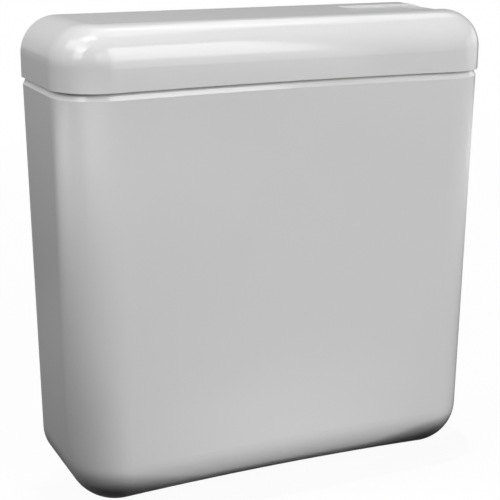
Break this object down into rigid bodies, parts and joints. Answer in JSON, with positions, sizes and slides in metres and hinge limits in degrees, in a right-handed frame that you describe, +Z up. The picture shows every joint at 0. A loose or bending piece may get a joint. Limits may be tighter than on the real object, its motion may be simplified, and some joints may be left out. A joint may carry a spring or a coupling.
{
  "type": "toilet cistern",
  "caption": "Slim wall-hung plastic toilet cistern with a bullnose lift-off lid, a flush key set in the lid, a lever-lifted flush valve and a float-operated fill valve.",
  "frame": {"origin": "midway between the two wall screw holes, on the back face that lies on the wall", "axes": "+X to the right seen from the front, +Y into the wall, +Z up"},
  "size_m": [0.4132, 0.124, 0.4098],
  "materials": {
    "tank_plastic": "moulded, semi-gloss white",
    "lid_plastic": "moulded, semi-gloss white",
    "key_plastic": "moulded, semi-gloss white",
    "valve_plastic": "moulded natural white",
    "lever_plastic": "moulded pale grey",
    "nut_plastic": "moulded white nylon",
    "tube_plastic": "extruded white",
    "float_plastic": "moulded white, closed cell",
    "fill_plastic": "moulded acetal white",
    "filter_plastic": "fine moulded grey",
    "washer_rubber": "black rubber",
    "seal_rubber": "grey silicone",
    "pin_steel": "drawn stainless",
    "spring_steel": "stainless wire"
  },
  "bodies": {
    "cistern": {"tank": "tank_plastic", "outlet_body": "valve_plastic", "outlet_washer": "washer_rubber", "outlet_backnut": "nut_plastic", "flush_pipe_nut": "nut_plastic", "flush_pipe_seal": "washer_rubber", "valve_cage": "valve_plastic", "fill_valve_body": "fill_plastic", "inlet_washer": "washer_rubber", "inlet_backnut": "nut_plastic", "inlet_filter": "filter_plastic", "fill_valve_diaphragm": "seal_rubber", "fill_valve_cap": "fill_plastic", "drop_tube": "tube_plastic", "arm_pin": "pin_steel", "lever_bridge": "valve_plastic", "lever_pin": "pin_steel"},
    "lid": {"lid": "lid_plastic", "key_pin": "pin_steel", "key_spring": "spring_steel"},
    "flush_key": {"flush_key": "key_plastic"},
    "lift_lever": {"lift_lever": "lever_plastic"},
    "flush_tube": {"overflow_tube": "tube_plastic", "valve_seal": "seal_rubber", "seal_retainer": "nut_plastic", "valve_float": "float_plastic", "lift_yoke": "lever_plastic"},
    "fill_plunger": {"fill_plunger": "lever_plastic"},
    "float_arm": {"float_arm": "lever_plastic"},
    "float_stem": {"float_stem": "nut_plastic"},
    "float": {"float": "float_plastic", "float_nut": "nut_plastic"}
  },
  "joints": [
    {"name": "lid_lift", "type": "slide", "parent": "cistern", "child": "lid", "axis": [0, 0, 1], "range_m": [0, 0.12]},
    {"name": "key_tilt", "type": "hinge", "parent": "lid", "child": "flush_key", "pos_m": [0.0969, -0.051, 0.0978], "axis": [0, 1, 0], "range_deg": [0, 6.5], "stiffness_Nm_per_rad": 2, "deforming": ["key_spring"]},
    {"name": "lever_tilt", "type": "hinge", "parent": "cistern", "child": "lift_lever", "pos_m": [0.1179, -0.044, 0.072], "axis": [0, 1, 0], "range_deg": [0, 11.4]},
    {"name": "tube_lift", "type": "slide", "parent": "cistern", "child": "flush_tube", "axis": [0, 0, 1], "range_m": [0, 0.02351]},
    {"name": "float_swing", "type": "hinge", "parent": "cistern", "child": "float_arm", "pos_m": [0.13703, -0.044, 0.009], "axis": [0, 1, 0], "range_deg": [0, 32]},
    {"name": "plunger_push", "type": "slide", "parent": "cistern", "child": "fill_plunger", "axis": [1, 0, 0], "range_m": [0, 0.00471]},
    {"name": "level_screw", "type": "hinge", "parent": "float_arm", "child": "float_stem", "pos_m": [0.08106, -0.044, -0.02598], "axis": [-0.5299, 0, 0.848], "range_deg": [-1081, 541]},
    {"name": "float_height", "type": "slide", "parent": "float_arm", "child": "float", "axis": [-0.5299, 0, 0.848], "range_m": [-0.012, 0.006]}
  ],
  "couplings": [
    {"joint": "lever_tilt", "follows": "key_tilt", "ratio": 1.75},
    {"joint": "tube_lift", "follows": "key_tilt", "m_per_rad": 0.20715},
    {"joint": "plunger_push", "follows": "float_swing", "m_per_rad": 0.008415},
    {"joint": "level_screw", "follows": "float_height", "rad_per_m": 1570.8}
  ]
}
